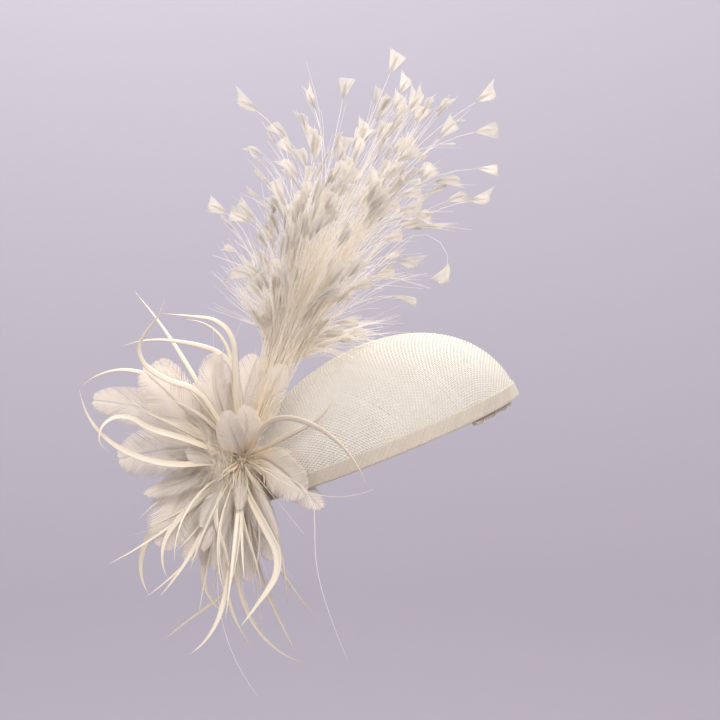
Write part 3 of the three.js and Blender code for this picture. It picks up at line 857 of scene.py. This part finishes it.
def add_thin_biots(hub, rng):
    """Thin curled biots, two hanging for each one that rises."""
    for i in range(26):
        low = i % 3 > 0
        heading = rng.uniform(-148, -62) if low else rng.uniform(88, 200)
        bend = rng.normal(0, 17)
        headings = (heading, heading + bend * 0.2, heading + bend, heading + bend * 1.8)
        length = rng.uniform(66, 108) if low else rng.uniform(58, 84)
        lean = rng.uniform(2, 36)
        spine = grown_spine(hub, length, headings, (lean, lean - 16), rng.uniform(-60, 60), 0.08)
        biot(f"biot_thin_{i}_feather", spine, width=rng.uniform(1.8, 4.2) * MM)


def add_between(hub, rng):
    """Narrow feathers filling in between the broad petals, from straight up, past the outer side
    and round to the low side under the brim."""
    first, step = -260, 15
    for i in range(14):
        heading = first + step * i + rng.normal(0, 5)
        lean = rng.uniform(-8, 38)
        bend = rng.normal(0, 12)
        headings = (heading, heading + bend / 2, heading + bend)
        length, width = rng.uniform(44, 68), rng.uniform(8, 14)
        spine = grown_spine(hub, length, headings, (lean, lean - 18), rng.uniform(-50, 50), 0.1)
        goose_feather(f"petal_between_{i}_feather", spine, rng, barbs=70, ragged=1.6, width=width * MM)


def add_strands(piece, hub, rng, count, length, width, heading, lean, warm=0.0, scatter=0.0, dull=1.0):
    """Loose curved strands springing from the hub; the pairs are the least and the most."""
    at = np.linspace(0, 1, 12)
    for _ in range(count):
        first, tilt = rng.uniform(*heading), rng.uniform(*lean)
        reach = rng.uniform(*length)
        headings = (first, first + rng.normal(0, 14), first + rng.normal(0, 26))
        start = hub + rng.normal(0, scatter, 3)
        spine = grown_spine(start, reach, headings, (tilt, tilt - rng.uniform(0, 30)), 0, 0.08)
        wide = rng.uniform(*width) * MM * (1 - 0.75 * at)
        line, side = smooth(spine.line, at)[None], smooth(spine.side, at)[None]
        root = warm * (1 - 0.7 * at)
        piece.add(strips(line, side, wide[None], 0.1 * MM), rng.uniform(0, dull), root[None])


def add_centre(hub, rng):
    """The heart of the flower: warm slips in the knot, down to one side, and loose hairs."""
    heart = Piece("flower_heart")
    add_strands(heart, hub, rng, 46, (16, 40), (0.7, 1.8), (-180, 180), (15, 75), warm=0.95)
    add_strands(heart, hub, rng, 150, (7, 17), (0.4, 1.1), (-180, 180), (20, 88), warm=0.8, scatter=2 * MM)
    heart.finish("biot")
    down = Piece("flower_down")
    middle = hub + np.array([-12, -12, 1]) * MM
    add_strands(down, middle, rng, 620, (8, 28), (0.16, 0.3), (70, 290), (-50, 60), 0.3, 4.5 * MM, 0.1)
    down.finish("hackle")
    hairs = Piece("flower_hairs")
    add_strands(hairs, hub, rng, 34, (45, 88), (0.25, 0.5), (60, 250), (-10, 45), warm=0.3, dull=0.4)
    add_strands(hairs, hub, rng, 24, (45, 84), (0.25, 0.5), (-130, -75), (-10, 40), warm=0.3, dull=0.4)
    hairs.finish("biot")


# ---- The plume ----

def plume_stem_ends():
    """The middle and radius of the bound stem's foot, and then of its head."""
    points = node_points("plume_stem")
    along = points @ unit(np.array([0.3, -0.02, 0.95]))
    ends = []
    for near in (along < along.min() + 0.1 * MM, along > along.max() - 0.1 * MM):
        middle = points[near].mean(0)
        ends += [middle, np.linalg.norm(points[near] - middle, axis=1).max()]
    return ends


def from_stem(spine_line, foot, head, offset):
    """A quill's line carried down the outside of the bound stem to its foot."""
    bound = np.linspace(foot + offset * 1.1, head + offset, 6)
    line = np.concatenate([bound, spine_line + offset])
    return even(line, 40)[0]


def plume_hackle(piece, foot, head, radius, turn, rng):
    """One hackle of the plume, from its place round the stem. It leans out to its own side, short
    ones the most, and those that lean from the plume's heading towards the flower are shorter."""
    right, back = math.cos(turn), math.sin(turn)
    plume_heading, full_length = 70.5, 198
    short = rng.random() < 0.4
    spread = 18 if short else 10
    middle = plume_heading - spread * right + rng.normal(0, 5 if short else 3.5)
    longest = full_length - 5.5 * max(0, middle - 70)
    length = rng.uniform(40, 115) if short else rng.uniform(0.6 * longest, longest)
    bend = rng.normal(-9, 8)
    if rng.random() < 0.28:
        # A few curl over and away from the plume.
        bend = -math.copysign(rng.uniform(30, 80), right)
    headings = ((72 + middle) / 2, middle, middle + bend * 0.3, middle + bend)
    tilt = -back * spread + rng.normal(0, 5)
    line = grown_line(head, length * MM, headings, (tilt * 0.7, tilt, tilt + rng.normal(0, 6)), 48)
    offset = np.array([right, back, 0]) * radius * rng.uniform(1.0, 1.3)
    line = from_stem(line, foot, head, offset)
    along = tangents(line)
    side = square_to(along, np.cross(along, FRONT))
    spine = Spine(line, turned(side, along, np.full(len(line), rng.uniform(-1.5, 1.5))))
    bare = short and rng.random() < 0.55
    tip, width = 0 if bare else rng.uniform(10, 17) * MM, rng.uniform(6, 12) * MM
    add_hackle(piece, spine, rng, tip, width, wisps=9, warm=1.0, radius=0.22 * MM)


def add_low_hackles(head, rng):
    """Short downy hackles fanning out at the plume's foot, over the dome and over the flower."""
    piece = Piece("plume_low_hackles")
    rise = 60
    # Each fan's first and last heading, and how many hackles it has.
    for first, last, count in ((48, -12, 9), (34, 8, 5), (104, 128, 7), (92, 150, 4)):
        for _ in range(count):
            turn = rng.normal(0, 7)
            leaving = rise + (first - rise) * 0.6 + turn
            headings = (leaving, first + turn, (first + last) / 2, last + turn)
            tilt = rng.uniform(-12, 22)
            spine = grown_spine(head, rng.uniform(38, 74), headings, (tilt, tilt), rng.uniform(-70, 70))
            tip = rng.uniform(9, 14) * MM if rng.random() < 0.6 else 0
            add_hackle(piece, spine, rng, tip, 8 * MM, wisps=16, warm=1.0, radius=0.2 * MM)
    piece.finish("hackle")


def add_foot_strands(hub, head, rng):
    """Fine warm quills in front of the plume's foot, running up into it out of the flower."""
    piece = Piece("plume_foot_strands")
    way = unit(head - hub)
    rise, back = math.degrees(math.atan2(way[2], way[0])), math.degrees(math.asin(-way[1]))
    for _ in range(80):
        heading = rise + rng.normal(0, 6)
        leans = (back + rng.uniform(45, 65), back + rng.uniform(0, 14), back * 0.7, back * 0.2, 0)
        headings = (heading - 4, heading, (heading + 70) / 2, 70 + rng.normal(0, 7), 66 + rng.normal(0, 14))
        spine = grown_spine(hub, rng.uniform(84, 168), headings, leans, 0, 0.04)
        add_hackle(piece, spine, rng, 0, 0, wisps=7, warm=1.0, radius=0.2 * MM)
    piece.finish("hackle")


def add_plume(rng):
    """The hackles that can be told apart, the fine ones at the foot, and the four bunches."""
    foot, _, head, radius = plume_stem_ends()
    for node in sorted(frame["nodes"]):
        if node.startswith("hackle_") and "bunch" not in node:
            spine = spine_of(node, head, 4)
            hackle(node + "_feather", spine, rng, 14 * MM, 11 * MM, replaces=[node])
    add_foot_strands(hub_place(), head, rng)
    add_low_hackles(head, rng)
    sides = {"right": 0, "back": 90, "left": 180, "front": 270}
    for name, middle in sides.items():
        piece = Piece(f"hackle_bunch_{name}_feathers")
        for _ in range(76):
            turn = math.radians(middle + rng.uniform(-48, 48))
            plume_hackle(piece, foot, head, radius, turn, rng)
        piece.finish("hackle", replaces=[f"hackle_bunch_{name}"])


# ---- Bound stems and the comb ----

def wind(piece, foot, head, radii, turns, thread, sides):
    """A thread wound round a stem from its foot to its head. radii are the windings' at the two."""
    axis = unit(head - foot)
    first = square_to(axis, np.array([1.0, 0.2, 0.1]))
    second = np.cross(axis, first)
    t = np.linspace(0, 1, turns * 14)
    angle = 2 * np.pi * turns * t
    radius = (radii[0] + (radii[1] - radii[0]) * t)[:, None]
    line = foot + (head - foot) * t[:, None]
    line = line + radius * (first * np.cos(angle)[:, None] + second * np.sin(angle)[:, None])
    piece.add(rods(line[None], np.broadcast_to(axis, line.shape)[None], thread, sides), 0.4, 0.3)


def add_windings():
    """Two bands of thread round the plume's stem, and fine thread all along the comb's spine."""
    foot, foot_radius, head, head_radius = plume_stem_ends()
    stem = Piece("plume_stem_winding")
    for shares in ((0.02, 0.34), (0.66, 0.98)):
        low, high = (foot + (head - foot) * share for share in shares)
        radii = [1.35 * (foot_radius + (head_radius - foot_radius) * share) for share in shares]
        wind(stem, low, high, radii, 9, 0.4 * MM, 5)
    stem.finish("thread")

    hinge = frame["joints"][0]
    middle, axis = np.array(hinge["pos_m"]), unit(np.array(hinge["axis"]))
    half_length, radius = 21.5 * MM, 1.85 * MM
    comb = Piece("comb_winding")
    reach = axis * half_length
    wind(comb, middle - reach, middle + reach, (radius, radius), 60, 0.2 * MM, 4)
    comb.finish("thread", body=hinge["child"])


def dress_cad_nodes():
    """The nodes whose CAD shape is right get their materials."""
    slots = {s["node"]: s["material_slot"] for s in RECORD["subparts"]}
    for node in ("rim_wire", "hair_comb", "flower_pad", "flower_stem", "plume_stem",
                 "comb_loop_front", "comb_loop_middle", "comb_loop_back"):
        mesh = frame["nodes"][node].data
        mesh.materials.clear()
        mesh.materials.append(materials[slots[node]])


add_camera()
materials = make_materials()
add_stage()
add_lights()
dome = Dome()
add_sinamay(dome, np.random.default_rng(1))
add_binding(dome, np.random.default_rng(2))
add_head_ribbon(dome)
add_flower(np.random.default_rng(4))
add_plume(np.random.default_rng(5))
add_windings()
dress_cad_nodes()
